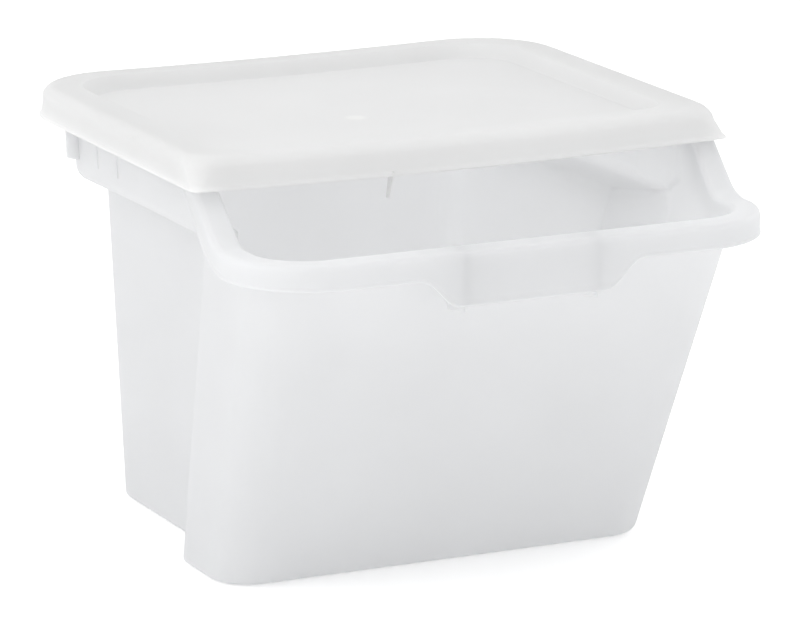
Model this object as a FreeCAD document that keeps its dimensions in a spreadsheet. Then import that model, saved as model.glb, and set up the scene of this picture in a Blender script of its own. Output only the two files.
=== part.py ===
"""Open-fronted stacking bin for dry pet food: a moulded tub and its lift-off cap lid.

Frame: millimetres, +Z up, the origin under the middle of the whole object at floor level. The open front faces
-Y and the bin is symmetric about the YZ plane.
"""

import FreeCAD, Part
import math
import os
import Sketcher

SIZES = {
    # Tub walls: half width, front and rear at floor level, and how far each face leans out per millimetre of
    # height.
    "base_half": 162.0,
    "base_front": 72.5,
    "base_rear": 187.3,
    "side_lean": 0.049,
    "front_lean": 0.48,
    "rear_lean": 0.017,
    "wall": 2.2,
    "floor_thickness": 2.6,
    "front_radius": 34.0,
    "rear_radius": 46.0,
    "base_edge_radius": 4.5,
    # Side steps: the rear part of each side wall stands inboard of the front part, under a ledge. The step
    # deepens by step_gain per millimetre of height.
    "step_inset": 29.3,
    "step_gain": 0.0105,
    "step_run": 26.5,
    "step_front": 28.0,
    "step_lean": 0.327,
    "step_rear_radius": 18.0,
    "ledge_height": 242.5,
    # Rim: a flat flange with a downturned skirt, high at the rear and low at the front lip.
    "rim_height": 305.0,
    "lip_height": 253.0,
    "rim_half": 194.5,
    "rim_front": 213.5,
    "rim_rear": 210.0,
    "rim_front_radius": 64.0,
    "rim_rear_radius": 66.0,
    "flange": 2.2,
    "skirt_depth": 15.5,
    "skirt_thickness": 2.0,
    "crease_radius": 4.0,
    # The sweep of each side rim from the lip up to the rear: two arcs joined by their common tangent.
    "low_arc_radius": 32.0,
    "low_arc_centre": 150.05,
    "high_arc_radius": 25.0,
    "high_arc_centre": 74.4,
    # Front grip: a deeper stretch of skirt between two webs.
    "grip_half": 59.0,
    "grip_ramp": 17.5,
    "grip_radius": 14.0,
    "grip_bottom": 216.2,
    "grip_lap": 6.0,
    "web_half": 48.5,
    "web_thickness": 2.4,
    "web_front_bottom": 213.0,
    "web_rear": 186.0,
    "web_rear_bottom": 209.0,
    # Under each side flange: one gusset near the rear with two shallow ribs before it. Inside: the raised pads
    # at the front ends of the ledges.
    "gusset_reach": 10.0,
    "gusset_slope": 2.0,
    "gusset_thickness": 2.0,
    "gusset_bottom": 259.0,
    "gusset_pitch": 36.0,
    "gusset_rear": 148.0,
    "rib_relief": 1.2,
    "rib_thickness": 1.2,
    "pad_thickness": 1.4,
    "pad_front": 90.5,
    "pad_length": 60.0,
    "pad_bottom": 240.0,
    # Lid: cap with a downturned skirt and a sunken panel.
    "lid_half": 200.0,
    "lid_front": 114.5,
    "lid_rear": 213.5,
    "lid_bottom": 287.0,
    "lid_height": 308.0,
    "lid_thickness": 2.6,
    "lid_wall": 2.2,
    "lid_side_draw": 3.0,
    "lid_front_draw": 11.0,
    "lid_rear_draw": 1.5,
    "lid_front_radius": 6.0,
    "lid_front_radius_gain": 17.0,
    "lid_rear_radius": 69.0,
    "lid_edge_radius": 6.0,
    "panel_half": 170.0,
    "panel_front": 86.0,
    "panel_rear": 186.5,
    "panel_depth": 9.0,
    "panel_draw": 8.5,
    "panel_front_radius": 22.0,
    "panel_rear_radius": 45.0,
    "panel_offset": 0.6,
    "tab_place": 54.0,
    "tab_thickness": 1.5,
    "tab_bottom": 271.0,
    "tab_setback": 8.0,
    "tab_width": 4.0,
}

ABOVE_RIM = 20.0  # how far the cutting forms run above the rim
CLEAR = 20.0  # how far cutting forms run past the walls they cut
STEP_SHIFT = 0.45  # how far the slanting step moves forward for each millimetre that its face is moved inward
OVERLAP = 1.0  # how far a rib, web or tab runs into the wall that it joins
TOUCH = 0.01  # heights closer than this are the same
END_BAND = 5.0  # a rim edge this close to the front or rear end belongs to that end

doc = FreeCAD.newDocument("pet_food_bin")
sheet = doc.addObject("Spreadsheet::Sheet", "sizes")
for row, (alias, number) in enumerate(SIZES.items(), start=1):
    sheet.set("A%d" % row, alias)
    sheet.set("B%d" % row, str(number))
    sheet.setAlias("B%d" % row, alias)
doc.recompute()


def size(name):
    """The number that a cell of the sheet holds."""
    return float(sheet.get(name))


def cell(name):
    """The expression that reads a cell of the sheet."""
    return "sizes." + name


def origin_plane(body, role):
    return next(item for item in body.Origin.OriginFeatures if item.Role == role)


def new_sketch(body, name, role, height="0"):
    """A sketch on one of the body's own origin planes, moved along its normal by an expression."""
    sketch = body.newObject("Sketcher::SketchObject", name)
    sketch.AttachmentSupport = [(origin_plane(body, role), "")]
    sketch.MapMode = "FlatFace"
    sketch.setExpression("AttachmentOffset.Base.z", height)
    return sketch


def constrain(sketch, name, constraint, expression):
    """Adds a driving dimension and binds it to the sheet."""
    index = sketch.addConstraint(constraint)
    sketch.renameConstraint(index, name)
    sketch.setExpression("Constraints." + name, expression)


def add_chain(sketch, shapes, tangent):
    """Adds a closed chain of lines and arcs, joined end to start; tangent lists the smooth joints."""
    count = len(shapes)
    for shape in shapes:
        sketch.addGeometry(shape, False)
    for index in range(count):
        after = (index + 1) % count
        kind = "Tangent" if index in tangent else "Coincident"
        sketch.addConstraint(Sketcher.Constraint(kind, index, 2, after, 1))


def arc(centre, radius, start, end):
    """A counter-clockwise arc in the sketch plane, angles in quarter turns."""
    circle = Part.Circle(FreeCAD.Vector(centre[0], centre[1], 0), FreeCAD.Vector(0, 0, 1), radius)
    quarter = math.pi / 2
    return Part.ArcOfCircle(circle, start * quarter, end * quarter)


def line(start, end):
    return Part.LineSegment(FreeCAD.Vector(start[0], start[1], 0), FreeCAD.Vector(end[0], end[1], 0))


def rounded_outline(body, name, height, half, front, rear, front_radius, rear_radius):
    """A rounded rectangle, symmetric about X = 0. Each size is a (number, expression) pair, and front is how
    far the front edge stands before the origin."""
    sketch = new_sketch(body, name, "XY_Plane", height)
    w, f, b, r, s = half[0], front[0], rear[0], front_radius[0], rear_radius[0]
    shapes = [
        line((-w + r, -f), (w - r, -f)),
        arc((w - r, -f + r), r, 3, 4),
        line((w, -f + r), (w, b - s)),
        arc((w - s, b - s), s, 0, 1),
        line((w - s, b), (-w + s, b)),
        arc((-w + s, b - s), s, 1, 2),
        line((-w, b - s), (-w, -f + r)),
        arc((-w + r, -f + r), r, 2, 3),
    ]
    add_chain(sketch, shapes, range(8))
    for index, kind in ((0, "Horizontal"), (2, "Vertical"), (4, "Horizontal"), (6, "Vertical")):
        sketch.addConstraint(Sketcher.Constraint(kind, index))
    sketch.addConstraint(Sketcher.Constraint("Equal", 1, 7))
    sketch.addConstraint(Sketcher.Constraint("Equal", 3, 5))
    constrain(sketch, "front_radius", Sketcher.Constraint("Radius", 1, r), front_radius[1])
    constrain(sketch, "rear_radius", Sketcher.Constraint("Radius", 3, s), rear_radius[1])
    constrain(sketch, "right", Sketcher.Constraint("DistanceX", -1, 1, 2, 1, w), half[1])
    constrain(sketch, "left", Sketcher.Constraint("DistanceX", 6, 1, -1, 1, w), half[1])
    constrain(sketch, "front", Sketcher.Constraint("DistanceY", 0, 1, -1, 1, f), front[1])
    constrain(sketch, "rear", Sketcher.Constraint("DistanceY", -1, 1, 4, 1, b), rear[1])
    return sketch


def loft(body, name, lowest, *others):
    """A ruled loft through outlines of the same body, from the lowest up."""
    feature = body.newObject("PartDesign::AdditiveLoft", name)
    feature.Profile = lowest
    feature.Sections = list(others)
    feature.Ruled = True
    body.Tip = feature
    return feature


def new_body(name):
    return doc.addObject("PartDesign::Body", name)


def part_object(kind, name, **links):
    item = doc.addObject(kind, name)
    for key, value in links.items():
        setattr(item, key, value)
    return item


def cut(name, base, tool):
    return part_object("Part::Cut", name, Base=base, Tool=tool)


def common(name, *shapes):
    return part_object("Part::MultiCommon", name, Shapes=list(shapes))


def fuse(name, *shapes):
    return part_object("Part::MultiFuse", name, Shapes=list(shapes))


def mirrored(name, source):
    return part_object("Part::Mirroring", name, Source=source, Base=(0, 0, 0), Normal=(1, 0, 0))


def filleted(name, base, radius, wanted):
    """Rounds those edges of a shape for which wanted(edge) is true."""
    doc.recompute()
    rounds = [(n, radius, radius) for n, edge in enumerate(base.Shape.Edges, start=1) if wanted(edge)]
    return part_object("Part::Fillet", name, Base=base, Edges=rounds)


# ---------------------------------------------------------------- tub forms


def leaning(base, lean, height, inset):
    """A face's distance from the origin at a height, moved inward by inset, as a number and an expression."""
    number = size(base) + size(lean) * height[0] - inset[0]
    expression = "%s + %s*(%s) - (%s)" % (cell(base), cell(lean), height[1], inset[1])
    return number, expression


def less(alias, inset):
    """A cell of the sheet less an inset, as a number and an expression."""
    return size(alias) - inset[0], "%s - (%s)" % (cell(alias), inset[1])


def wall_form(name, bottom, inset, radius_inset):
    """The full-width form of the tub, moved inward by inset, from a bottom height to above the rim."""
    body = new_body(name)
    top = (size("rim_height") + ABOVE_RIM, "%s + %g" % (cell("rim_height"), ABOVE_RIM))
    outlines = []
    for label, height in (("lower", bottom), ("upper", top)):
        outlines.append(
            rounded_outline(
                body,
                "%s_%s" % (name, label),
                height[1],
                leaning("base_half", "side_lean", height, inset),
                leaning("base_front", "front_lean", height, inset),
                leaning("base_rear", "rear_lean", height, inset),
                less("front_radius", radius_inset),
                less("rear_radius", radius_inset),
            )
        )
    loft(body, name + "_loft", *outlines)
    return body


def step_form(name, top, inset):
    """The space outside one rear side wall: bounded by the inset wall, the slanting step and the ledge above.
    inset moves all of its faces towards the inside of the tub."""
    body = new_body(name)
    outlines = []
    for label, height in (("lower", (0.0, "0")), ("upper", top)):
        sketch = new_sketch(body, "%s_%s" % (name, label), "XY_Plane", height[1])
        side = leaning("base_half", "side_lean", height, inset)
        rear = leaning("base_rear", "rear_lean", height, inset)
        w = side[0] - size("step_inset") - size("step_gain") * height[0]
        b = rear[0]
        y = size("step_front") - size("step_lean") * height[0] - STEP_SHIFT * inset[0]
        s = size("step_rear_radius") - inset[0]
        reach = size("step_inset") + CLEAR
        drop = reach * size("step_run") / size("step_inset")
        shapes = [
            line((w - s, b + CLEAR), (w - s, b)),
            Part.ArcOfCircle(
                Part.Circle(FreeCAD.Vector(w - s, b - s, 0), FreeCAD.Vector(0, 0, 1), s), 0, math.pi / 2
            ),
            line((w, b - s), (w, y)),
            line((w, y), (w + reach, y - drop)),
            line((w + reach, y - drop), (w + reach, b + CLEAR)),
            line((w + reach, b + CLEAR), (w - s, b + CLEAR)),
        ]
        for shape in shapes:
            sketch.addGeometry(shape, False)
        for first, first_end, second, second_end in (
            (0, 2, 1, 2), (2, 2, 3, 1), (3, 2, 4, 1), (4, 2, 5, 1), (5, 2, 0, 1),
        ):
            sketch.addConstraint(Sketcher.Constraint("Coincident", first, first_end, second, second_end))
        sketch.addConstraint(Sketcher.Constraint("Tangent", 1, 1, 2, 1))
        for index, kind in ((0, "Vertical"), (2, "Vertical"), (4, "Vertical"), (5, "Horizontal")):
            sketch.addConstraint(Sketcher.Constraint(kind, index))
        sketch.addConstraint(Sketcher.Constraint("Vertical", 1, 3, 1, 2))
        constrain(sketch, "rear_radius", Sketcher.Constraint("Radius", 1, s),
                  "%s - (%s)" % (cell("step_rear_radius"), inset[1]))
        constrain(sketch, "side", Sketcher.Constraint("DistanceX", -1, 1, 2, 1, w),
                  "%s - %s - %s*(%s)" % (side[1], cell("step_inset"), cell("step_gain"), height[1]))
        constrain(sketch, "rear", Sketcher.Constraint("DistanceY", -1, 1, 1, 2, b), rear[1])
        constrain(sketch, "step", Sketcher.Constraint("DistanceY", 2, 2, 1, 2, b - y),
                  "%s - (%s - %s*(%s) - %g*(%s))" % (rear[1], cell("step_front"), cell("step_lean"),
                                                    height[1], STEP_SHIFT, inset[1]))
        constrain(sketch, "reach", Sketcher.Constraint("DistanceX", 3, 1, 3, 2, reach),
                  "%s + %g" % (cell("step_inset"), CLEAR))
        constrain(sketch, "run", Sketcher.Constraint("DistanceY", 3, 2, 3, 1, drop),
                  "(%s + %g)*%s/%s" % (cell("step_inset"), CLEAR, cell("step_run"), cell("step_inset")))
        constrain(sketch, "behind", Sketcher.Constraint("DistanceY", 0, 2, 0, 1, CLEAR), "%g" % CLEAR)
        outlines.append(sketch)
    loft(body, name + "_loft", *outlines)
    return body


def below_rim(name, drop):
    """Everything below the rim surface moved down and back by drop: the rim's side view, made wide enough to
    cut with."""
    body = new_body(name)
    sketch = new_sketch(body, name + "_profile", "YZ_Plane")
    d = drop[0]
    low, high = size("low_arc_radius"), size("high_arc_radius")
    lip, rim = size("lip_height"), size("rim_height")
    front, rear = -size("rim_front") - CLEAR, size("rim_rear") + CLEAR
    low_centre = FreeCAD.Vector(-size("low_arc_centre"), lip + low, 0)
    high_centre = FreeCAD.Vector(-size("high_arc_centre"), rim - high, 0)
    turn = FreeCAD.Vector(1, -1, 0).normalize()
    low_end = low_centre + turn * (low + d)
    high_start = high_centre - turn * (high - d)
    normal = FreeCAD.Vector(0, 0, 1)
    quarter = math.pi / 2
    shapes = [
        line((front, -CLEAR), (front, lip - d)),
        line((front, lip - d), (low_centre.x, lip - d)),
        Part.ArcOfCircle(Part.Circle(low_centre, normal, low + d), 3 * quarter, 3.5 * quarter),
        line(low_end, high_start),
        Part.ArcOfCircle(Part.Circle(high_centre, normal, high - d), quarter, 1.5 * quarter),
        line((high_centre.x, rim - d), (rear, rim - d)),
        line((rear, rim - d), (rear, -CLEAR)),
        line((rear, -CLEAR), (front, -CLEAR)),
    ]
    for shape in shapes:
        sketch.addGeometry(shape, False)
    for first, first_end, second, second_end in ((0, 2, 1, 1), (5, 2, 6, 1), (6, 2, 7, 1), (7, 2, 0, 1)):
        sketch.addConstraint(Sketcher.Constraint("Coincident", first, first_end, second, second_end))
    for first, first_end, second, second_end in ((1, 2, 2, 1), (2, 2, 3, 1), (3, 2, 4, 2), (4, 1, 5, 1)):
        sketch.addConstraint(Sketcher.Constraint("Tangent", first, first_end, second, second_end))
    for index in (0, 6):
        sketch.addConstraint(Sketcher.Constraint("Vertical", index))
    for index in (1, 5, 7):
        sketch.addConstraint(Sketcher.Constraint("Horizontal", index))
    constrain(sketch, "front", Sketcher.Constraint("DistanceX", 0, 1, -1, 1, -front),
              "%s + %g" % (cell("rim_front"), CLEAR))
    constrain(sketch, "rear", Sketcher.Constraint("DistanceX", -1, 1, 6, 1, rear),
              "%s + %g" % (cell("rim_rear"), CLEAR))
    constrain(sketch, "below", Sketcher.Constraint("DistanceY", 7, 1, -1, 1, CLEAR), "%g" % CLEAR)
    constrain(sketch, "lip", Sketcher.Constraint("DistanceY", -1, 1, 1, 1, lip - d),
              "%s - (%s)" % (cell("lip_height"), drop[1]))
    constrain(sketch, "rim", Sketcher.Constraint("DistanceY", -1, 1, 5, 2, rim - d),
              "%s - (%s)" % (cell("rim_height"), drop[1]))
    constrain(sketch, "low_radius", Sketcher.Constraint("Radius", 2, low + d),
              "%s + (%s)" % (cell("low_arc_radius"), drop[1]))
    constrain(sketch, "high_radius", Sketcher.Constraint("Radius", 4, high - d),
              "%s - (%s)" % (cell("high_arc_radius"), drop[1]))
    constrain(sketch, "low_centre", Sketcher.Constraint("DistanceX", 2, 3, -1, 1, -low_centre.x),
              cell("low_arc_centre"))
    constrain(sketch, "high_centre", Sketcher.Constraint("DistanceX", 4, 3, -1, 1, -high_centre.x),
              cell("high_arc_centre"))
    pad = body.newObject("PartDesign::Pad", name + "_pad")
    pad.Profile = sketch
    pad.setExpression("Length", "2*%s + %g" % (cell("rim_half"), 2 * CLEAR))
    pad.Midplane = True
    body.Tip = pad
    return body


def prism(name, inset):
    """The straight form inside the rim's outline, moved inward by inset."""
    body = new_body(name)
    sketch = rounded_outline(
        body,
        name + "_outline",
        "0",
        *[less(alias, inset)
          for alias in ("rim_half", "rim_front", "rim_rear", "rim_front_radius", "rim_rear_radius")],
    )
    pad = body.newObject("PartDesign::Pad", name + "_pad")
    pad.Profile = sketch
    pad.setExpression("Length", "%s + %g" % (cell("rim_height"), ABOVE_RIM))
    body.Tip = pad
    return body


def on_rim_edge(edge):
    """True for the edges that run round a rim form's top outside corner."""
    middle = edge.CenterOfMass
    if edge.BoundBox.ZMin < size("lip_height") - size("skirt_depth") - OVERLAP:
        return False
    crosses = edge.BoundBox.XLength > size("rim_half")
    at_end = middle.y < -size("rim_front") + END_BAND or middle.y > size("rim_rear") - END_BAND
    return at_end or not crosses


ZERO = (0.0, "0")
WALL = (size("wall"), cell("wall"))

tub_form = wall_form("tub_form", ZERO, ZERO, ZERO)
cavity_form = wall_form("cavity_form", (size("floor_thickness"), cell("floor_thickness")), WALL, WALL)
ledge_top = (size("ledge_height") + size("wall"), "%s + %s" % (cell("ledge_height"), cell("wall")))
right_step = step_form("step_space", (size("ledge_height"), cell("ledge_height")), ZERO)
right_step_inner = step_form("step_space_inner", ledge_top, WALL)
stepped_form = cut(
    "stepped_form",
    cut("half_stepped", tub_form, right_step),
    mirrored("step_space_left", right_step),
)
cavity = cut(
    "cavity",
    cut("half_cavity", cavity_form, right_step_inner),
    mirrored("step_space_inner_left", right_step_inner),
)
below_top = below_rim("below_top", ZERO)
tub_block = common("tub_block", stepped_form, below_top)


def at_floor(edge):
    """True for the edges that lie on the ground."""
    return edge.BoundBox.ZMax < TOUCH


def on_cavity_floor(edge):
    return abs(edge.BoundBox.ZMax - size("floor_thickness")) < TOUCH


tub_solid = filleted("tub_solid", tub_block, size("base_edge_radius"), at_floor)
hollow = filleted("hollow", cavity, size("base_edge_radius") - size("wall"), on_cavity_floor)

# ---------------------------------------------------------------- rim

rim_block = common("rim_block", prism("rim_prism", ZERO), below_top)
rim_outside = filleted("rim_outside", rim_block, size("crease_radius"), on_rim_edge)
below_flange = below_rim("below_flange", (size("flange"), cell("flange")))
below_skirt = below_rim("below_skirt", (size("skirt_depth"), cell("skirt_depth")))
inner_prism = prism("inner_prism", (size("skirt_thickness"), cell("skirt_thickness")))
inner_block = common("inner_block", inner_prism, below_flange)
inner_radius = size("crease_radius") - size("skirt_thickness")
rim_inside = filleted("rim_inside", inner_block, inner_radius, on_rim_edge)
rim = cut("rim", cut("rim_band", rim_outside, below_skirt), rim_inside)


# ---------------------------------------------------------------- grip, gussets and pads


def plate(name, role, points, thickness, place):
    """A flat plate: a polygon of (first, second) points on an origin plane, each a pair of (number, expression),
    thickened to both sides of its place along the normal."""
    body = new_body(name)
    sketch = new_sketch(body, name + "_outline", role, place)
    count = len(points)
    for index in range(count):
        start, end = points[index], points[(index + 1) % count]
        sketch.addGeometry(line((start[0][0], start[1][0]), (end[0][0], end[1][0])), False)
    for index in range(count):
        sketch.addConstraint(Sketcher.Constraint("Coincident", index, 2, (index + 1) % count, 1))
    for index, point in enumerate(points):
        for kind, value in zip(("DistanceX", "DistanceY"), point):
            if value[0] >= 0:
                link = Sketcher.Constraint(kind, -1, 1, index, 1, value[0])
                text = value[1]
            else:
                link = Sketcher.Constraint(kind, index, 1, -1, 1, -value[0])
                text = "-(%s)" % value[1]
            constrain(sketch, "%s_%d" % (kind.lower(), index), link, text)
    pad = body.newObject("PartDesign::Pad", name + "_pad")
    pad.Profile = sketch
    pad.setExpression("Length", thickness)
    pad.Midplane = True
    body.Tip = pad
    return body


def at(alias, sign=1, plus=0.0):
    """A coordinate read from the sheet: sign times the cell, plus a fixed amount, as (number, expression)."""
    return sign * size(alias) + plus, "%d*%s + %g" % (sign, cell(alias), plus)


ramp_top = (size("lip_height") - size("skirt_depth"), "%s - %s" % (cell("lip_height"), cell("skirt_depth")))
ramp_start = (size("grip_half") + size("grip_ramp"), "%s + %s" % (cell("grip_half"), cell("grip_ramp")))
grip_top = (size("lip_height") - size("grip_lap"), "%s - %s" % (cell("lip_height"), cell("grip_lap")))
grip_end = (ramp_start[0] + CLEAR, "%s + %g" % (ramp_start[1], CLEAR))


def opposite(value):
    return -value[0], "-(%s)" % value[1]


grip_outline = [
    (opposite(grip_end), grip_top),
    (opposite(grip_end), ramp_top),
    (opposite(ramp_start), ramp_top),
    (at("grip_half", -1), at("grip_bottom")),
    (at("grip_half"), at("grip_bottom")),
    (ramp_start, ramp_top),
    (grip_end, ramp_top),
    (grip_end, grip_top),
]
grip_plate = plate("grip_plate", "XZ_Plane", grip_outline, cell("skirt_thickness"),
                   "%s - %s/2" % (cell("rim_front"), cell("skirt_thickness")))


def on_ramp_corner(edge):
    """True for the corners at both ends of each ramp of the grip."""
    box = edge.BoundBox
    across = box.YLength > size("skirt_thickness") / 2
    return across and abs(box.Center.x) < ramp_start[0] + OVERLAP and box.ZMax < ramp_top[0] + OVERLAP


grip = filleted("grip", grip_plate, size("grip_radius"), on_ramp_corner)

web_front = at("rim_front", -1, OVERLAP)
web_rear = at("web_rear", -1)
web_outline = [
    (web_front, at("web_front_bottom")),
    (web_rear, at("web_rear_bottom")),
    (web_rear, at("lip_height", 1, -OVERLAP)),
    (web_front, at("lip_height", 1, -OVERLAP)),
]
web = plate("web", "YZ_Plane", web_outline, cell("web_thickness"), cell("web_half"))


def side_face(height, outward):
    """How far the outside of the band stands from the middle at a height, plus a distance outward."""
    return (
        size("base_half") + size("side_lean") * height[0] + outward[0],
        "%s + %s*(%s) + (%s)" % (cell("base_half"), cell("side_lean"), height[1], outward[1]),
    )


half_wall = (-size("wall") / 2, "-%s/2" % cell("wall"))
gusset_reach = (size("gusset_reach"), cell("gusset_reach"))
rib_relief = (size("rib_relief"), cell("rib_relief"))
rib_top = at("rim_height", 1, -OVERLAP)
gusset_foot = (
    size("gusset_bottom") - size("gusset_slope"),
    "%s - %s" % (cell("gusset_bottom"), cell("gusset_slope")),
)
gusset_outline = [
    (side_face(gusset_foot, half_wall), gusset_foot),
    (side_face(gusset_foot, gusset_reach), at("gusset_bottom")),
    (side_face(gusset_foot, gusset_reach), rib_top),
    (side_face(gusset_foot, half_wall), rib_top),
]
rib_outline = [
    (side_face(gusset_foot, half_wall), gusset_foot),
    (side_face(gusset_foot, rib_relief), gusset_foot),
    (side_face(rib_top, rib_relief), rib_top),
    (side_face(rib_top, half_wall), rib_top),
]
side_ribs = [web]
for number, (outline, thickness) in enumerate((
    (gusset_outline, "gusset_thickness"),
    (rib_outline, "rib_thickness"),
    (rib_outline, "rib_thickness"),
)):
    place = "-(%s - %d*%s)" % (cell("gusset_rear"), number, cell("gusset_pitch"))
    side_ribs.append(plate("side_rib_%d" % number, "XZ_Plane", outline, cell(thickness), place))

pad_block = doc.addObject("Part::Box", "pad_block")
for attribute, expression in (
    ("Length", "%s" % cell("rim_half")),
    ("Width", cell("pad_length")),
    ("Height", "%s - %s" % (cell("rim_height"), cell("pad_bottom"))),
    ("Placement.Base.y", "-%s" % cell("pad_front")),
    ("Placement.Base.z", cell("pad_bottom")),
):
    pad_block.setExpression(attribute, expression)
pad_inset = (size("wall") + size("pad_thickness"), "%s + %s" % (cell("wall"), cell("pad_thickness")))
pad_inside = wall_form("pad_inside", (size("floor_thickness"), cell("floor_thickness")), pad_inset, pad_inset)
pad = cut("pad", common("pad_bounds", pad_block, hollow), pad_inside)
open_hollow = cut("open_hollow", cut("half_open_hollow", hollow, pad), mirrored("pad_left", pad))

ribs = side_ribs + [mirrored(rib.Name + "_left", rib) for rib in side_ribs]
tub_outside = fuse("tub_outside", tub_solid, rim, grip, *ribs)
tub = cut("tub", tub_outside, open_hollow)

# ---------------------------------------------------------------- lid


def drawn(alias, draw, height, inset, sign=1):
    """A lid outline's size at a height on its skirt, moved inward by inset. It shrinks towards the top by the draw,
    or grows by it where sign is -1."""
    rise = size("lid_height") - size("lid_bottom")
    number = size(alias) - sign * size(draw) * (height[0] - size("lid_bottom")) / rise - inset[0]
    share = "((%s) - %s)/(%s - %s)" % (height[1], cell("lid_bottom"), cell("lid_height"), cell("lid_bottom"))
    return number, "%s - %d*%s*%s - (%s)" % (cell(alias), sign, cell(draw), share, inset[1])


def lid_outline(body, name, height, inset):
    return rounded_outline(
        body,
        name,
        height[1],
        drawn("lid_half", "lid_side_draw", height, inset),
        drawn("lid_front", "lid_front_draw", height, inset),
        drawn("lid_rear", "lid_rear_draw", height, inset),
        drawn("lid_front_radius", "lid_front_radius_gain", height, inset, -1),
        drawn("lid_rear_radius", "lid_side_draw", height, inset),
    )


def lid_form(name, top, radius, inset):
    """The cap's form from the bottom of its skirt to its top face, moved inward by inset. The outlines of the
    loft step round a quarter circle at the top edge."""
    body = new_body(name)
    bottom = (size("lid_bottom"), cell("lid_bottom"))
    outlines = [lid_outline(body, name + "_bottom", bottom, inset)]
    for turn in (0, 30, 60, 90):
        drop = 1 - math.sin(math.radians(turn))
        draw_in = 1 - math.cos(math.radians(turn))
        height = (top[0] - radius[0] * drop, "%s - (%s)*%.4f" % (top[1], radius[1], drop))
        step = (inset[0] + radius[0] * draw_in, "%s + (%s)*%.4f" % (inset[1], radius[1], draw_in))
        outlines.append(lid_outline(body, "%s_turn_%d" % (name, turn), height, step))
    loft(body, name + "_loft", *outlines)
    return body


def panel_form(name, top_height, offset):
    """The space above the sunken panel, with its sloping walls, moved outward by offset."""
    body = new_body(name)
    outlines = []
    for label, draw, height in (
        ("lower", (size("panel_draw"), cell("panel_draw")), "%s - %s" % (top_height, cell("panel_depth"))),
        ("upper", ZERO, top_height),
    ):
        sizes = []
        for alias in ("panel_half", "panel_front", "panel_rear", "panel_front_radius", "panel_rear_radius"):
            sizes.append((
                size(alias) - draw[0] + offset[0],
                "%s - (%s) + (%s)" % (cell(alias), draw[1], offset[1]),
            ))
        outlines.append(rounded_outline(body, "%s_%s" % (name, label), height, *sizes))
    loft(body, name + "_loft", *outlines)
    return body


LID_WALL = (size("lid_wall"), cell("lid_wall"))
lid_top = (size("lid_height"), cell("lid_height"))
underside = (size("lid_height") - size("lid_thickness"), "%s - %s" % (cell("lid_height"), cell("lid_thickness")))
edge_radius = (size("lid_edge_radius"), cell("lid_edge_radius"))
inner_edge = (edge_radius[0] - LID_WALL[0], "%s - %s" % (edge_radius[1], LID_WALL[1]))
lid_block = lid_form("lid_block", lid_top, edge_radius, ZERO)
lid_recessed = cut("lid_recessed", lid_block, panel_form("panel_space", lid_top[1], ZERO))
lid_core = lid_form("lid_core", underside, inner_edge, LID_WALL)
panel_under = panel_form("panel_under", underside[1], (size("panel_offset"), cell("panel_offset")))
lid_hollow = cut("lid_hollow", lid_core, panel_under)


def behind_front(*aliases):
    """A place behind the skirt's front face: the sum of some sizes, as (number, expression)."""
    number = -size("lid_front") + OVERLAP + sum(size(alias) for alias in aliases)
    return number, " + ".join(["-%s + %g" % (cell("lid_front"), OVERLAP)] + [cell(alias) for alias in aliases])


tab_top = (size("lid_bottom") + size("tab_width"), "%s + %s" % (cell("lid_bottom"), cell("tab_width")))
tab_outline = [
    (behind_front(), tab_top),
    (behind_front(), at("lid_bottom")),
    (behind_front("tab_setback"), at("tab_bottom")),
    (behind_front("tab_setback", "tab_width"), at("tab_bottom")),
    (behind_front("tab_setback"), tab_top),
]
tab = plate("tab", "YZ_Plane", tab_outline, cell("tab_thickness"), "-%s" % cell("tab_place"))
lid = fuse("lid", cut("lid_shell", lid_recessed, lid_hollow), tab)

doc.recompute()

# ---------------------------------------------------------------- hand-over

broken = [item.Name for item in doc.Objects if {"Invalid", "Error"} & set(item.State)]
if broken:
    raise RuntimeError("not computed: %s" % ", ".join(broken))
os.makedirs("parts", exist_ok=True)
for item in (tub, lid):
    shape = item.Shape
    if shape.isNull() or not shape.isValid() or len(shape.Solids) != 1:
        raise RuntimeError("%s is not one valid solid" % item.Label)
    shape.exportStep("parts/%s.step" % item.Label)
    print(item.Label, round(shape.Volume), shape.BoundBox)
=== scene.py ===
import math

import bmesh
import bpy
import numpy as np
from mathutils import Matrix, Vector


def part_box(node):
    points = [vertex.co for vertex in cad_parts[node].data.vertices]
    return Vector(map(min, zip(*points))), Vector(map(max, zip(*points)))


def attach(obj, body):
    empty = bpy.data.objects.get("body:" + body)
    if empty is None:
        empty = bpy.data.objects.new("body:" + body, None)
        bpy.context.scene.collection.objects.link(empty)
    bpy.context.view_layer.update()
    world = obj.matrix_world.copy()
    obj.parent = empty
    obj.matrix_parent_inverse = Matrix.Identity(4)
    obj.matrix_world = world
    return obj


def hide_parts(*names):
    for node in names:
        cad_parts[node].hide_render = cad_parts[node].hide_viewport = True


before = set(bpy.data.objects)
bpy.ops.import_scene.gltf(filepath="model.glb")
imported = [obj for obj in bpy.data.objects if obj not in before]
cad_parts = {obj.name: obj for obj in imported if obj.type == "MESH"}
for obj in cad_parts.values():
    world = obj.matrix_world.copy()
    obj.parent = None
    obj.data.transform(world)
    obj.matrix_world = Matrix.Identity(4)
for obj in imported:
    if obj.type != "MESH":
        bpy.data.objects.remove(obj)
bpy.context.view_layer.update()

tub_low, tub_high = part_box("tub")
lid_low, lid_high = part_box("lid")

MM = 0.001
RIM_HEIGHT = tub_high.z / MM  # 305
RIM_HALF = tub_high.x / MM  # 194.5
RIM_FRONT = -tub_low.y / MM  # 213.5
RIM_REAR = tub_high.y / MM  # 210
LID_HALF = lid_high.x / MM  # 200
LID_REAR = lid_high.y / MM  # 213.5
LID_TOP = lid_high.z / MM  # 308
LID_FRONT = -lid_low.y / MM  # 114.5

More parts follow.
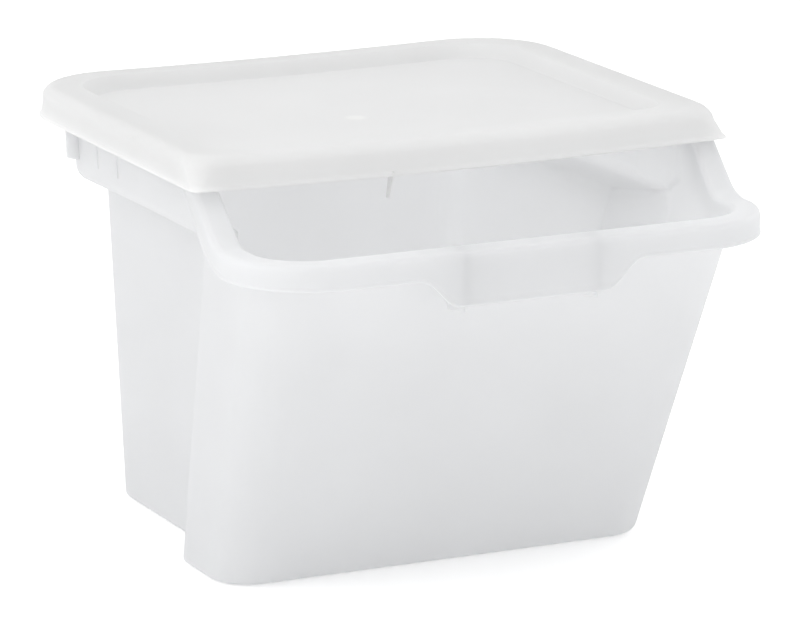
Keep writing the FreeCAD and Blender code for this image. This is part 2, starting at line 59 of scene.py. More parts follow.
# Tub walls, in millimetres
BASE_HALF, SIDE_LEAN = 162.0, 0.049
BASE_FRONT, FRONT_LEAN = 72.5, 0.48
BASE_REAR, REAR_LEAN = 187.3, 0.017
WALL, FLOOR = 2.2, 2.6
BASE_EDGE = 5.0
FRONT_RADIUS, FRONT_RADIUS_GAIN = 30.0, 0.03
BAND_REAR_RADIUS, LOWER_REAR_RADIUS = 46.0, 18.0
STEP_INSET, STEP_GAIN, STEP_RUN = 29.3, 0.0105, 26.5
FLARE = 0.009  # how much more the front part of each side leans out
STEP_FRONT, STEP_LEAN = 1.5, 0.327
STEP_SOFT = 2.0
LEDGE_FRONT, LEDGE_SLOPE = 243.4, 0.008
SHOULDER = 10.0
# Rim
LIP = 253.0
FLANGE, SKIRT, SKIRT_WALL, CREASE = 2.2, 15.5, 2.0, 4.0
RIM_FRONT_RADIUS, RIM_REAR_RADIUS = 61.5, 66.0
INNER_EDGE = 3.2  # rounding where the walls turn into the rim
LOW_ARC, LOW_CENTRE, LOW_ARC_INSIDE = 32.0, -150.05, 13.0
HIGH_ARC, HIGH_CENTRE = 25.0, -74.4
# Grip
FRONT_DROP = 1.8  # how much deeper the skirt is along the front
GRIP_DEPTH, GRIP_HALF, GRIP_RAMP, GRIP_SOFT = 19.6, 59.0, 17.5, 6.5
WEB_HALF, WEB_THICK = 48.5, 2.4
# Raised pad inside each side, above the front end of the ledge
PAD_FRONT, PAD_REAR, PAD_BOTTOM, PAD_DEPTH = -90.5, -30.5, 246.5, 1.8
# Under the side rims
GUSSET_Y, GUSSET_THICK = 148.0, 2.0
RIBS_Y, RIB_THICK = (112.0, 76.0), 1.3
GUSSET_FOOT, GUSSET_TOP = 257.0, 303.5
# Lid
SAG = 2.7  # how far the lid, and the rear rim under it, dip at mid width
LID_BOTTOM, LID_SKIRT = 287.0, 21.0
LID_THICK, LID_WALL, LID_EDGE = 2.3, 3.0, 6.5
PANEL_DEPTH = 9.0
PANEL_HALF, PANEL_HALF_DEEP, PANEL_MIDDLE = 161.3, 128.0, 50.4  # the panel's foot
LID_TAB_X, LID_TAB_THICK = -54.0, 1.4


def smooth(t):
    t = np.clip(t, 0.0, 1.0)
    return t * t * (3 - 2 * t)


def mix(a, b, t):
    return a + (b - a) * t


def soft_ramp(s, length, top, soft):
    """0 before s = 0, then a straight climb to top at s = length, with both corners rounded."""
    slope = top / length

    def rise(v):
        return np.where(v < -soft, 0.0, np.where(v > soft, v, (v + soft) ** 2 / (4 * soft)))

    return slope * (rise(s) - rise(s - length))


# ------------------------------------------------------------ the tub's perimeter, right half, front to rear

FRONT_X = np.array([0, 14, 28, 38, 44, 47, 50, 53, 56, 59, 62, 65, 68, 71, 74, 77, 80, 84, 90, 98, 108,
                    118.0])
CORNER = np.linspace(-90, 0, 17)
SIDE_1 = np.linspace(0, 1, 27)[1:-1]
STEP_ZONE = np.array([-5, -3, -1.5, 0, 1.5, 3, 5.5, 9, 13.25, 17.5, 21, 23.5, 25, 26.5, 28, 29.5, 31.5])
SIDE_2 = np.concatenate([[0.02, 0.045, 0.065, 0.075, 0.08, 0.085, 0.09, 0.095, 0.105, 0.13],
                         np.linspace(0.17, 0.96, 16)])
CORNER_2 = np.linspace(0, 90, 17)
REAR = np.linspace(0, 1, 10)[1:]
SEGMENTS = {}
HALF_COUNT = 0
for key, items in (("front", FRONT_X), ("corner", CORNER), ("side_1", SIDE_1), ("zone", STEP_ZONE),
                   ("side_2", SIDE_2), ("corner_2", CORNER_2), ("rear", REAR)):
    SEGMENTS[key] = slice(HALF_COUNT, HALF_COUNT + len(items))
    HALF_COUNT += len(items)

# How much of the flare each perimeter point takes, below and above the ledge
FLARE_LOW = np.zeros(HALF_COUNT)
FLARE_LOW[:SEGMENTS["zone"].start] = 1.0
FLARE_LOW[SEGMENTS["zone"]] = 1 - smooth(STEP_ZONE / STEP_RUN)
FLARE_HIGH = np.zeros(HALF_COUNT)
FLARE_HIGH[:SEGMENTS["zone"].start] = 1.0
FLARE_HIGH[SEGMENTS["zone"]] = 1 - 0.3 * smooth(STEP_ZONE / STEP_RUN)
FLARE_HIGH[SEGMENTS["side_2"]] = 0.7 * (1 - smooth(SIDE_2 * 1.8))

# How far each perimeter point counts as front: 1 up to the front corner, easing to 0 along the side
FRONTNESS = np.zeros(HALF_COUNT)
FRONTNESS[:SEGMENTS["side_1"].start] = 1.0
FRONTNESS[SEGMENTS["side_1"]] = 1 - smooth(SIDE_1 * 1.15)

# Quarter turn in equal steps, for the roundings
FINE_TURN = np.radians([0, 18, 36, 54, 72, 90])
COARSE_TURN = np.radians([0, 30, 60, 90])
SHOULDER_TURN = np.radians([0, 15, 30, 45, 60, 75, 90])


def trace(half, front, rear, front_radius, rear_radius, step_y, deep):
    """Right half of an outline: one (x, y) for each perimeter point. Every argument has one value per
    point."""
    x = np.empty(HALF_COUNT)
    y = np.empty(HALF_COUNT)
    s = SEGMENTS["front"]
    x[s], y[s] = FRONT_X * np.minimum(1, (half[s] - front_radius[s]) / 122.0), front[s]
    s = SEGMENTS["corner"]
    turn = np.radians(CORNER)
    x[s] = half[s] - front_radius[s] * (1 - np.cos(turn))
    y[s] = front[s] + front_radius[s] * (1 + np.sin(turn))
    s = SEGMENTS["side_1"]
    begin = front[s] + front_radius[s]
    x[s] = half[s]
    y[s] = begin + SIDE_1 * (step_y[s] + STEP_ZONE[0] - begin)
    s = SEGMENTS["zone"]
    y[s] = step_y[s] + STEP_ZONE
    x[s] = half[s] - soft_ramp(STEP_ZONE, STEP_RUN, 1.0, STEP_SOFT) * deep[s]
    s = SEGMENTS["side_2"]
    begin = step_y[s] + STEP_ZONE[-1]
    x[s] = half[s] - deep[s]
    y[s] = begin + SIDE_2 * (rear[s] - rear_radius[s] - begin)
    s = SEGMENTS["corner_2"]
    turn = np.radians(CORNER_2)
    x[s] = half[s] - deep[s] - rear_radius[s] * (1 - np.cos(turn))
    y[s] = rear[s] - rear_radius[s] * (1 - np.sin(turn))
    s = SEGMENTS["rear"]
    x[s] = (half[s] - deep[s] - rear_radius[s]) * (1 - REAR)
    y[s] = rear[s]
    return x, y


def wall(z, inset, low):
    """The wall's outline at a height per point, moved inward. low: below the ledge, with the stepped-in
    sides."""
    z = np.broadcast_to(np.asarray(z, float), (HALF_COUNT,))
    half = BASE_HALF + SIDE_LEAN * z + FLARE * z * (FLARE_LOW if low else FLARE_HIGH) - inset
    front = -(BASE_FRONT + FRONT_LEAN * z) + inset * 1.1
    rear = BASE_REAR + REAR_LEAN * z - inset
    front_radius = FRONT_RADIUS + FRONT_RADIUS_GAIN * z - inset
    rear_radius = np.full(HALF_COUNT, (LOWER_REAR_RADIUS if low else BAND_REAR_RADIUS) - inset)
    step_y = STEP_FRONT - STEP_LEAN * np.minimum(z, LEDGE_FRONT) - 0.45 * inset
    deep = (STEP_INSET + STEP_GAIN * z) * (1.0 if low else 0.0)
    return trace(half, front, rear, front_radius, rear_radius, step_y, deep)


def swept(y, d, low_arc=LOW_ARC):
    """Height of the rim's side profile, moved down square to itself by d, and the sine of its slope. The
    lower bend is tighter at the rim's inner edge, so its radius is an argument."""
    centre = LOW_CENTRE + (LOW_ARC - low_arc) * math.tan(math.pi / 8)
    low, high = low_arc + d, HIGH_ARC - d
    corner = math.sin(math.pi / 4)
    a, b = centre + low * corner, HIGH_CENTRE - high * corner
    low_line = LIP + low_arc - low * corner
    z = np.full(y.shape, LIP - d)
    sine = np.zeros(y.shape)
    arc = (y > centre) & (y <= a)
    z[arc] = LIP + low_arc - np.sqrt(low ** 2 - (y[arc] - centre) ** 2)
    sine[arc] = (y[arc] - centre) / low
    line = (y > a) & (y <= b)
    z[line] = low_line + (y[line] - a)
    sine[line] = corner
    arc = (y > b) & (y <= HIGH_CENTRE)
    z[arc] = RIM_HEIGHT - HIGH_ARC + np.sqrt(np.maximum(0, high ** 2 - (y[arc] - HIGH_CENTRE) ** 2))
    sine[arc] = (HIGH_CENTRE - y[arc]) / high
    z[y > HIGH_CENTRE] = RIM_HEIGHT - d
    return z, sine


def wall_top(inset, d):
    """Where the band's wall meets the rim's profile: (x, y, z) for each perimeter point."""
    z = np.full(HALF_COUNT, 300.0)
    for _ in range(60):
        x, y = wall(z, inset, False)
        z = 0.5 * z + 0.5 * swept(y, d, LOW_ARC_INSIDE)[0]
    return np.stack([x, y, swept(y, d, LOW_ARC_INSIDE)[0]], 1)


def rim_loop(inset, d):
    """The rim's outline moved inward by inset, on its profile moved down by d (one depth per point)."""
    full = np.ones(HALF_COUNT)
    x, y = trace(full * (RIM_HALF - inset), -full * (RIM_FRONT - inset), full * (RIM_REAR - inset),
                 full * (RIM_FRONT_RADIUS - inset), full * (RIM_REAR_RADIUS - inset),
                 full * (STEP_FRONT - STEP_LEAN * LEDGE_FRONT), full * 0)
    z, sine = swept(y, 0.0)
    cosine = np.sqrt(1 - sine ** 2)
    return np.stack([x, y + d * sine, z - d * cosine], 1)


def with_pad(ring):
    """Raises the pad at the front end of the ledge, inside the band's wall. Its lower front corner is cut
    back."""
    x, y, z = ring[:, 0], ring[:, 1], ring[:, 2]
    side = wall(z, WALL, False)[0]
    front = PAD_FRONT + 12.0 * (1 - smooth((z - PAD_BOTTOM) / 12.0))
    cover = (smooth((y - front) / 1.6) * smooth((PAD_REAR - y) / 1.2 + 0.5)
             * smooth((z - PAD_BOTTOM) / 0.8 + 1.0))
    depth = PAD_DEPTH * cover * (SEGMENTS["side_1"].start <= np.arange(HALF_COUNT))
    made = ring.copy()
    made[:, 0] = np.where(cover > 0, np.minimum(x, side - depth), x)
    return made


def ledge_rings(inset):
    """Rings that cross the ledge from the lower wall to the band, and plain wall rings where there is no
    ledge."""
    base = mix(232.0, 218.0, FRONTNESS)
    top = mix(257.5, 237.0, FRONTNESS)
    level_y = wall(np.full(HALF_COUNT, LEDGE_FRONT), inset, False)[1]
    level = LEDGE_FRONT + inset - LEDGE_SLOPE * np.maximum(0, level_y - level_y[SEGMENTS["zone"]][0])
    low = np.stack(wall(level, inset, True), 1)
    width = np.linalg.norm(np.stack(wall(level, inset, False), 1) - low, axis=1)
    inner = np.minimum(3.0 + inset, 0.3 * width)
    outer = np.minimum(SHOULDER - inset, 0.6 * width)
    flat = width - inner - outer
    rings = [
        (width, base), (width, mix(base, level - inner, 0.6)),
        *[(width - inner * (1 - math.cos(a)), level - inner * (1 - math.sin(a))) for a in COARSE_TURN],
        *[(outer + flat * (1 - t), level) for t in (0.25, 0.5, 0.75)],
        *[(outer * (1 - math.sin(a)), level + outer * (1 - math.cos(a))) for a in SHOULDER_TURN],
        (width * 0, mix(level + outer, top, 0.5)), (width * 0, top),
    ]
    made = []
    blend = smooth(width / 10.0)
    for k, (depth, height) in enumerate(rings):
        plain = mix(base, top, k / (len(rings) - 1))
        z = mix(plain, height, blend)
        share = np.where(width > 1e-6, depth / np.maximum(width, 1e-6), 0) * blend
        if k == 0:
            share = np.ones(HALF_COUNT)
        elif k == len(rings) - 1:
            share = np.zeros(HALF_COUNT)
        share = np.where(width > 1e-6, share, 0)
        up = np.stack(wall(z, inset, False), 1)
        down = np.stack(wall(z, inset, True), 1)
        made.append(np.column_stack([mix(up, down, share[:, None]), z]))
    return made


def wall_rings(inset, floor, edge, top):
    """All rings of one side of the wall, from the floor's edge up to the loop top."""
    rings = []
    for a in FINE_TURN:
        shrink = edge * (1 - math.sin(a))
        z = floor + edge * (1 - math.cos(a))
        x, y = wall(np.full(HALF_COUNT, z), inset + shrink, True)
        rings.append(np.column_stack([x, y, np.full(HALF_COUNT, z)]))
    ledge = ledge_rings(inset)
    start = floor + edge
    for t in np.linspace(0, 1, 17)[1:-1]:
        z = mix(start, ledge[0][:, 2], t)
        x, y = wall(z, inset, True)
        rings.append(np.column_stack([x, y, z]))
    rings += ledge
    for t in (0.2, 0.4, 0.6, 0.8, 0.92):
        z = mix(ledge[-1][:, 2], top[:, 2], t)
        x, y = wall(z, inset, False)
        rings.append(np.column_stack([x, y, z]))
    rings.append(top)
    return rings


def grip_extra(x):
    """How much deeper the front skirt hangs at a distance from the middle."""
    return GRIP_DEPTH - soft_ramp(np.abs(x) - GRIP_HALF, GRIP_RAMP, GRIP_DEPTH, GRIP_SOFT)


def tub_rings():
    """All rings of the tub: up the inside, over the rim, down and back under its skirt, and down the
    outside."""
    inner_top = wall_top(WALL, INNER_EDGE)
    outer_top = wall_top(0.0, FLANGE)
    rings = [with_pad(ring) for ring in wall_rings(WALL, FLOOR, BASE_EDGE - WALL, inner_top)][:-1]
    # rounded inner edge of the rim
    edge = wall_top(WALL, 0.0)
    crease_in = rim_loop(CREASE, 0.0)
    across = crease_in - edge
    across[:, 2] = 0
    unit = across / np.linalg.norm(across, axis=1, keepdims=True)
    for a in FINE_TURN:
        drop = INNER_EDGE * (1 - math.sin(a))
        plan = wall_top(WALL, drop) + unit * INNER_EDGE * (1 - math.cos(a))
        z = swept(plan[:, 1], drop, LOW_ARC_INSIDE)[0]
        rings.append(np.column_stack([plan[:, 0], plan[:, 1], z]))
    # top of the rim and its outer crease
    begin = edge + unit * INNER_EDGE
    for t in (0.1, 0.3, 0.5, 0.7, 0.86, 0.95):
        plan = mix(begin, crease_in, t)
        z = swept(plan[:, 1], 0.0, mix(LOW_ARC_INSIDE, LOW_ARC, t))[0]
        rings.append(np.column_stack([plan[:, 0], plan[:, 1], z]))
    for a in SHOULDER_TURN:
        rings.append(rim_loop(CREASE * (1 - math.sin(a)), CREASE * (1 - math.cos(a))))
    # skirt, deeper at the grip, with a bead along its bottom
    at_front = np.zeros(HALF_COUNT)
    at_front[SEGMENTS["front"]] = 1
    bottom = SKIRT + FRONT_DROP * FRONTNESS
    bottom = bottom + at_front * grip_extra(rim_loop(0.0, 0.0)[:, 0])
    for t in (0.2, 0.45, 0.7, 0.88):
        rings.append(rim_loop(0.0, mix(CREASE, bottom - 2.2, t)))
    for inset, up in ((0.0, 2.4), (-0.55, 1.9), (-0.75, 1.2), (-0.55, 0.45), (0.1, 0.0), (1.2, 0.0),
                      (1.85, 0.5), (2.0, 1.6)):
        rings.append(rim_loop(inset, bottom - up))
    # inside of the skirt and underside of the rim
    for t in (0.15, 0.5, 0.85):
        rings.append(rim_loop(SKIRT_WALL, mix(bottom - 2.0, FLANGE + 2.0, t)))
    for a in COARSE_TURN:
        rings.append(rim_loop(SKIRT_WALL + 2.0 * (1 - math.cos(a)), FLANGE + 2.0 * (1 - math.sin(a))))
    under = rim_loop(SKIRT_WALL + 2.0, FLANGE)
    for t in (0.3, 0.6, 0.85, 0.95):
        plan = mix(under, outer_top, t)
        z = swept(plan[:, 1], FLANGE, mix(LOW_ARC, LOW_ARC_INSIDE, t))[0]
        rings.append(np.column_stack([plan[:, 0], plan[:, 1], z]))
    return rings + wall_rings(0.0, 0.0, BASE_EDGE, outer_top)[::-1][1:]


def sag_rear(points):
    """The rear rim dips with the lid that lies on it."""
    x, z = points[:, 0], points[:, 2]
    share = smooth((z - 262.0) / 36.0)
    points[:, 2] = z - SAG * (1 - np.clip(np.abs(x) / LID_HALF, 0, 1) ** 2) * share
    return points


def mesh_object(name, verts, faces, smooth_count, material):
    """An object from points and faces. The first smooth_count faces are shaded smooth, the rest flat."""
    mesh = bpy.data.meshes.new(name)
    mesh.from_pydata([tuple(v) for v in np.asarray(verts) * MM], [], faces)
    mesh.validate()
    shape = bmesh.new()
    shape.from_mesh(mesh)
    bmesh.ops.recalc_face_normals(shape, faces=shape.faces)
    shape.to_mesh(mesh)
    shape.free()
    mesh.materials.append(material)
    for polygon in mesh.polygons:
        polygon.use_smooth = polygon.index < smooth_count
    obj = bpy.data.objects.new(name, mesh)
    bpy.context.scene.collection.objects.link(obj)
    return obj


def whole_loop(half_points):
    """Both halves of a loop: the right half from front to rear, then its mirror image back to the front."""
    left = half_points[::-1][1:-1].copy()
    left[:, 0] *= -1
    return np.vstack([half_points, left])


def loft_faces(loops):
    """Vertices and quads of stacked loops, with the first and last closed by rings that shrink to a flat
    cap."""
    size = len(loops[0])

    def cap(loop):
        middle = loop.mean(axis=0)
        middle[0] = 0
        return [middle + (loop - middle) * s for s in (0.93, 0.8, 0.6, 0.4, 0.2, 0.07)]

    rings = cap(loops[0])[::-1] + loops + cap(loops[-1])
    faces = []
    for k in range(len(rings) - 1):
        a, b = k * size, (k + 1) * size
        for i in range(size):
            j = (i + 1) % size
            faces.append((a + i, a + j, b + j, b + i))
    faces.append(tuple(range(size))[::-1])
    last = (len(rings) - 1) * size
    faces.append(tuple(last + i for i in range(size)))
    return np.vstack(rings), faces


def slab(outline, thickness, along, place):
    """A closed plate: a polygon of (first, second) points thickened along an axis about a place."""
    points = np.asarray(outline, float)
    count = len(points)
    verts = []
    inner = points.mean(axis=0)
    for offset, shrink in ((-0.5, 0.35), (-0.32, 0.0), (0.32, 0.0), (0.5, 0.35)):
        for p in points:
            q = p + (inner - p) / np.linalg.norm(inner - p) * shrink
            w = place + offset * thickness
            verts.append({"x": (w, q[0], q[1]), "y": (q[0], w, q[1])}[along])
    faces = []
    for k in range(3):
        for i in range(count):
            j = (i + 1) % count
            faces.append((k * count + i, k * count + j, (k + 1) * count + j, (k + 1) * count + i))
    faces.append(tuple(range(count))[::-1])
    faces.append(tuple(3 * count + i for i in range(count)))
    return np.array(verts), faces


def join(parts):
    """Several (vertices, faces) as one."""
    verts, faces, start = [], [], 0
    for v, f in parts:
        verts.append(np.asarray(v))
        faces += [tuple(start + i for i in face) for face in f]
        start += len(v)
    return np.vstack(verts), faces


def dense(outline, step):
    """A polygon's outline with points added so that none are further apart than step."""
    made = []
    for i, p in enumerate(outline):
        q = outline[(i + 1) % len(outline)]
        p, q = np.array(p, float), np.array(q, float)
        n = max(1, int(np.ceil(np.linalg.norm(q - p) / step)))
        for k in range(n):
            made.append(p + (q - p) * k / n)
    return made


def tub_mesh():
    """The tub's points and faces, and how many of the faces are smooth: the slabs after them are flat."""
    parts = [loft_faces([whole_loop(ring) for ring in tub_rings()])]
    web_front = -RIM_FRONT + 1.0
    web = [(web_front, 212.6), (-186.4, 209.2), (-186.0, 209.8), (-186.0, 238.0), (-192.4, 251.5),
           (web_front, 251.5)]
    foot = BASE_HALF + SIDE_LEAN * GUSSET_FOOT
    gusset = [(foot - 0.8, GUSSET_FOOT), (foot + 7.8, 258.6), (foot + 9.0, 260.0),
              (foot + 10.4, GUSSET_TOP), (foot + 1.4, GUSSET_TOP)]
    rib = [(foot - 0.8, GUSSET_FOOT), (foot + 0.4, 257.4), (foot + 0.6, 258.0),
           (foot + 2.8, GUSSET_TOP), (foot + 1.4, GUSSET_TOP)]
    for sign in (-1, 1):
        parts.append(slab(web, WEB_THICK, "x", sign * WEB_HALF))
        parts.append(slab([(sign * a, b) for a, b in gusset], GUSSET_THICK, "y", GUSSET_Y))
        for y in RIBS_Y:
            parts.append(slab([(sign * a, b) for a, b in rib], RIB_THICK, "y", y))
    verts, faces = join(parts)
    return sag_rear(verts), faces, len(parts[0][1])


# ------------------------------------------------------------ lid

LID_STRAIGHT = np.linspace(0, 1, 15)
LID_CORNER = 18


def lid_loop(half, front, rear, front_radius, rear_radius, z):
    """Whole outline of a lid ring from the front middle, anticlockwise seen from above."""
    points = []
    for t in LID_STRAIGHT:
        points.append(((half - front_radius) * t, -front))
    for a in np.linspace(-90, 0, LID_CORNER)[1:]:
        r = math.radians(a)
        points.append((half - front_radius * (1 - math.cos(r)), -front + front_radius * (1 + math.sin(r))))
    begin, end = -front + front_radius, rear - rear_radius
    for t in LID_STRAIGHT[1:]:
        points.append((half, begin + (end - begin) * t))
    for a in np.linspace(0, 90, LID_CORNER)[1:]:
        r = math.radians(a)
        points.append((half - rear_radius * (1 - math.cos(r)), rear - rear_radius * (1 - math.sin(r))))
    for t in LID_STRAIGHT[1:]:
        points.append(((half - rear_radius) * (1 - t), rear))
    right = np.array([(x, y, z) for x, y in points])
    return whole_loop(right)


def skirt_loop(z, inset):
    """The lid's skirt: its outline at a height, moved inward."""
    share = (z - LID_BOTTOM) / LID_SKIRT
    return lid_loop(LID_HALF - 4.0 * share - inset, LID_FRONT - 11.0 * share - inset * 1.12,
                    LID_REAR - 2.5 * share - inset, max(1.5, 6.0 + 17.0 * share - inset),
                    69.0 - 3.0 * share - inset, z)


def panel_loop(share, z, grow=0.0):
    """The sunken panel's outline: share 0 at the top of its wall, 1 at the foot."""
    return lid_loop(169.5 - 8.2 * share + grow, 84.5 - 6.8 * share + grow, 187.0 - 8.6 * share + grow,
                    22.0 - 4 * share + grow, 45.0 - 5.0 * share + grow, z)


def lid_mesh():
    """The lid's points and faces, and how many of the faces are smooth: the tab after them is flat."""
    floor = LID_TOP - PANEL_DEPTH
    rings = []
    # top side, from inside the panel's foot outward
    foot = panel_loop(1.0, floor)
    middle = np.array([0.0, PANEL_MIDDLE, 0.0])
    for inset in (60.0, 30.0, 12.0, 5.0, 2.4, 1.2):
        scale = np.array([(PANEL_HALF - inset) / PANEL_HALF,
                          (PANEL_HALF_DEEP - inset) / PANEL_HALF_DEEP, 1.0])
        rings.append((foot - middle) * scale + middle)
    for share, z in ((1.0, 0.0), (0.97, 0.25), (0.9, 0.9), (0.7, 2.9), (0.5, 4.75), (0.3, 6.6), (0.12, 8.1),
                     (0.05, 8.6), (0.0, 8.84), (-0.06, 8.96), (-0.14, 9.0)):
        rings.append(panel_loop(share, floor + z))
    outer = skirt_loop(LID_TOP, LID_EDGE)
    inner = panel_loop(-0.14, LID_TOP)
    for t in (0.3, 0.65, 0.9):
        rings.append(mix(inner, outer, t))
    # rounded outer edge, skirt and the bead along its bottom
    for a in np.radians([0, 12, 25, 38, 52, 66, 78, 90]):
        z = LID_TOP - LID_EDGE * (1 - math.cos(a))
        rings.append(skirt_loop(z, LID_EDGE * (1 - math.sin(a))))
    for z in (298.0, 294.0, 291.2, 290.2):
        rings.append(skirt_loop(z, 0.9))
    for z, inset in ((289.6, 0.75), (289.1, 0.2), (288.4, 0.0), (287.6, 0.0), (287.1, 0.25),
                     (LID_BOTTOM, 0.9), (LID_BOTTOM, 2.0), (287.15, 2.7), (287.8, LID_WALL)):
        rings.append(skirt_loop(z, inset))
    # inside of the skirt and underside of the border and the panel
    for z in (290.0, 295.0, 299.5):
        rings.append(skirt_loop(z, LID_WALL))
    under = LID_TOP - LID_THICK
    for a in COARSE_TURN:
        rings.append(skirt_loop(under - 4.0 * (1 - math.sin(a)), LID_WALL + 4.0 * (1 - math.cos(a))))
    under_edge = panel_loop(-0.1, under, 1.2)
    outer = skirt_loop(under, LID_WALL + 4.0)
    for t in (0.4, 0.8, 1.0):
        rings.append(mix(outer, under_edge, t))
    for share, z in ((0.1, 8.2), (0.5, 4.6), (0.85, 1.4), (0.95, 0.35), (1.0, 0.05), (1.05, 0.0)):
        rings.append(panel_loop(share, floor - LID_THICK + z, 1.2))
    parts = [loft_faces(rings)]
    # thin tab under the front skirt
    front = -LID_FRONT + 2.0
    tab = [(front - 1.0, 290.0), (front, LID_BOTTOM), (front + 7.5, 270.6), (front + 9.5, 270.2),
           (front + 10.3, 272.0), (front + 6.0, 290.0)]
    parts.append(slab(dense(tab, 4.0), LID_TAB_THICK, "x", LID_TAB_X))
    verts, faces = join(parts)
    share = 1 - np.clip(np.abs(verts[:, 0]) / LID_HALF, 0, 1) ** 2
    verts[:, 2] -= SAG * share
    return verts, faces, len(parts[0][1])


# ------------------------------------------------------------ materials


def plastic(name, tint, clarity, scale, mark=None):
    """Natural translucent polypropylene: light passes through it spread out, with a faint mottle from the
    melt. mark is where the mould's feed left a small pale round mark, if it did."""
    material = bpy.data.materials.new(name)
    material.use_nodes = True
    nodes, links = material.node_tree.nodes, material.node_tree.links
    nodes.clear()
    out = nodes.new("ShaderNodeOutputMaterial")
    place = nodes.new("ShaderNodeTexCoord")
    cloud = nodes.new("ShaderNodeTexNoise")
    cloud.inputs["Scale"].default_value = scale
    cloud.inputs["Detail"].default_value = 4.0
    fine = nodes.new("ShaderNodeTexNoise")
    fine.inputs["Scale"].default_value = 900.0
    fine.inputs["Detail"].default_value = 2.0
    links.new(place.outputs["Object"], cloud.inputs["Vector"])
    links.new(place.outputs["Object"], fine.inputs["Vector"])
    ramp = nodes.new("ShaderNodeValToRGB")
    ramp.color_ramp.elements[0].position = 0.3
    ramp.color_ramp.elements[0].color = (*[c * 0.985 for c in tint], 1)
    ramp.color_ramp.elements[1].position = 0.7
    ramp.color_ramp.elements[1].color = (*tint, 1)
    links.new(cloud.outputs["Fac"], ramp.inputs["Fac"])
    colour = ramp.outputs["Color"]
    if mark:
        away = nodes.new("ShaderNodeVectorMath")
        away.operation = "DISTANCE"
        away.inputs[1].default_value = mark
        links.new(place.outputs["Object"], away.inputs[0])
        fade = nodes.new("ShaderNodeMapRange")
        fade.inputs["From Min"].default_value = 0.0045
        fade.inputs["From Max"].default_value = 0.009
        fade.inputs["To Min"].default_value = 0.8
        fade.inputs["To Max"].default_value = 0.0
        links.new(away.outputs["Value"], fade.inputs["Value"])
        spot = nodes.new("ShaderNodeMixRGB")
        spot.inputs["Color2"].default_value = (0.97, 0.97, 0.96, 1)
        links.new(fade.outputs["Result"], spot.inputs["Fac"])
        links.new(colour, spot.inputs["Color1"])
        colour = spot.outputs["Color"]
    rough = nodes.new("ShaderNodeMapRange")
    rough.inputs["To Min"].default_value = 0.36
    rough.inputs["To Max"].default_value = 0.48
    links.new(fine.outputs["Fac"], rough.inputs["Value"])
    bump = nodes.new("ShaderNodeBump")
    bump.inputs["Strength"].default_value = 0.05
    bump.inputs["Distance"].default_value = 0.0004
    links.new(fine.outputs["Fac"], bump.inputs["Height"])
    skin = nodes.new("ShaderNodeBsdfPrincipled")
    skin.inputs["IOR"].default_value = 1.49
    skin.inputs["Specular IOR Level"].default_value = 0.4
    links.new(colour, skin.inputs["Base Color"])
    links.new(rough.outputs["Result"], skin.inputs["Roughness"])
    links.new(bump.outputs["Normal"], skin.inputs["Normal"])
    through = nodes.new("ShaderNodeBsdfTranslucent")
    links.new(colour, through.inputs["Color"])
    blend = nodes.new("ShaderNodeMixShader")
    blend.inputs["Fac"].default_value = clarity
    links.new(skin.outputs["BSDF"], blend.inputs[1])
    links.new(through.outputs["BSDF"], blend.inputs[2])
    links.new(blend.outputs["Shader"], out.inputs["Surface"])
    return material


def floor_material():
    material = bpy.data.materials.new("pale_paper")
    material.use_nodes = True
    nodes, links = material.node_tree.nodes, material.node_tree.links
    surface = nodes["Principled BSDF"]
    noise = nodes.new("ShaderNodeTexNoise")
    noise.inputs["Scale"].default_value = 6.0
    ramp = nodes.new("ShaderNodeValToRGB")
    ramp.color_ramp.elements[0].color = (0.93, 0.93, 0.93, 1)
    ramp.color_ramp.elements[1].color = (0.95, 0.95, 0.95, 1)
    links.new(noise.outputs["Fac"], ramp.inputs["Fac"])
    links.new(ramp.outputs["Color"], surface.inputs["Base Color"])
    surface.inputs["Roughness"].default_value = 0.7
    surface.inputs["Emission Color"].default_value = (1.0, 1.0, 1.0, 1.0)
    surface.inputs["Emission Strength"].default_value = 0.24
    return material


tub_plastic = plastic("tub_plastic", (0.876, 0.879, 0.884), 0.66, 14.0)
lid_plastic = plastic("lid_plastic", (0.91, 0.91, 0.908), 0.62, 11.0, (-0.0195, 0.0215, 0.2962))

tub = mesh_object("moulded_tub", *tub_mesh(), tub_plastic)
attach(tub, "tub")
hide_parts("tub")

lid = mesh_object("cap_lid", *lid_mesh(), lid_plastic)
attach(lid, "lid")
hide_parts("lid")

# ------------------------------------------------------------ floor, light and camera


def studio_floor():
    """A flat pale floor, just under the bin."""
    half_width, drop = 6.0, 0.0005
    verts = [(x, y, -drop) for y in (-4.0, 0.0, 3.0) for x in (-half_width, half_width)]
    faces = [(0, 1, 3, 2), (2, 3, 5, 4)]
    mesh = bpy.data.meshes.new("studio_floor")
    mesh.from_pydata(verts, [], faces)
    mesh.materials.append(floor_material())
    obj = bpy.data.objects.new("studio_floor", mesh)
    bpy.context.scene.collection.objects.link(obj)


studio_floor()


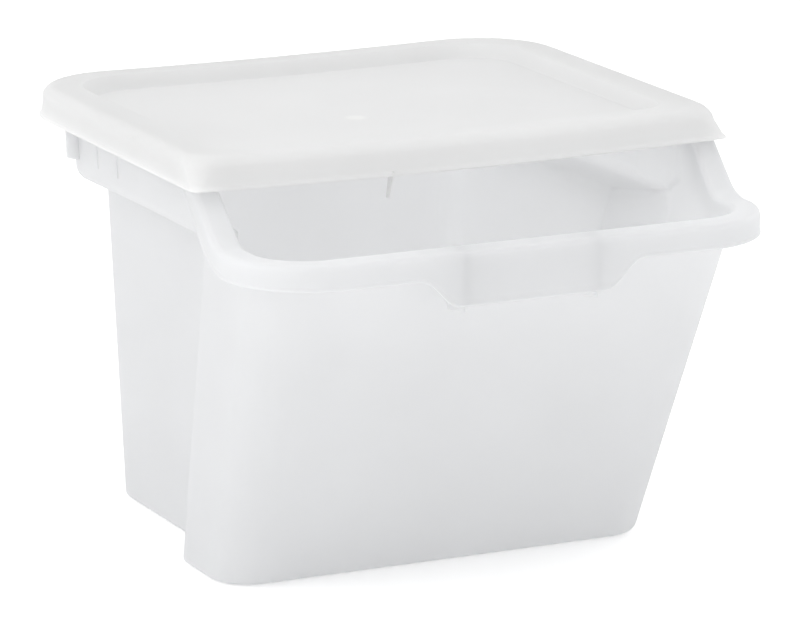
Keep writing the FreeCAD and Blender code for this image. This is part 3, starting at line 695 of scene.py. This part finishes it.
def area_light(name, place, target, size, power):
    """A soft rectangular light at a place, facing a target."""
    data = bpy.data.lights.new(name, "AREA")
    data.shape = "RECTANGLE"
    data.size, data.size_y = size
    data.energy = power
    obj = bpy.data.objects.new(name, data)
    obj.location = place
    obj.rotation_euler = (Vector(target) - Vector(place)).to_track_quat("-Z", "Y").to_euler()
    bpy.context.scene.collection.objects.link(obj)


CENTRE = (0.0, 0.05, 0.15)
area_light("top_softbox", (0.0, 0.0, 2.4), CENTRE, (1.8, 1.8), 9.5)
area_light("left_softbox", (-2.2, 0.35, 1.3), CENTRE, (1.6, 1.6), 16.0)
area_light("right_softbox", (2.2, 0.7, 0.9), CENTRE, (1.6, 1.6), 7.0)

world = bpy.data.worlds.new("studio")
world.use_nodes = True
world.node_tree.nodes["Background"].inputs["Color"].default_value = (1, 1, 1, 1)
world.node_tree.nodes["Background"].inputs["Strength"].default_value = 1.0
bpy.context.scene.world = world

# The camera of the photo: which way it faces, what it faces and from how far
AZIMUTH, ELEVATION, ROLL = math.radians(25.257), math.radians(13.707), math.radians(-0.187)
TARGET = Vector((27.07, 49.5, 146.83)) * MM
DISTANCE, FOCAL = 3.823, 244.35
look = Vector((math.sin(AZIMUTH) * math.cos(ELEVATION), math.cos(AZIMUTH) * math.cos(ELEVATION),
               -math.sin(ELEVATION)))
camera_data = bpy.data.cameras.new("camera")
camera_data.lens = FOCAL
camera_data.sensor_width = 36.0
camera_data.clip_end = 50.0
camera = bpy.data.objects.new("camera", camera_data)
camera.location = TARGET - look * DISTANCE
turn = look.to_track_quat("-Z", "Y").to_matrix()
right, up = turn.col[0].copy(), turn.col[1].copy()
right_2 = right * math.cos(ROLL) + up * math.sin(ROLL)
up_2 = -right * math.sin(ROLL) + up * math.cos(ROLL)
matrix = turn.to_4x4()
for row in range(3):
    matrix[row][0], matrix[row][1], matrix[row][2] = right_2[row], up_2[row], -look[row]
matrix.translation = camera.location
camera.matrix_world = matrix
bpy.context.scene.collection.objects.link(camera)
bpy.context.scene.camera = camera
bpy.context.scene.view_settings.view_transform = "Standard"
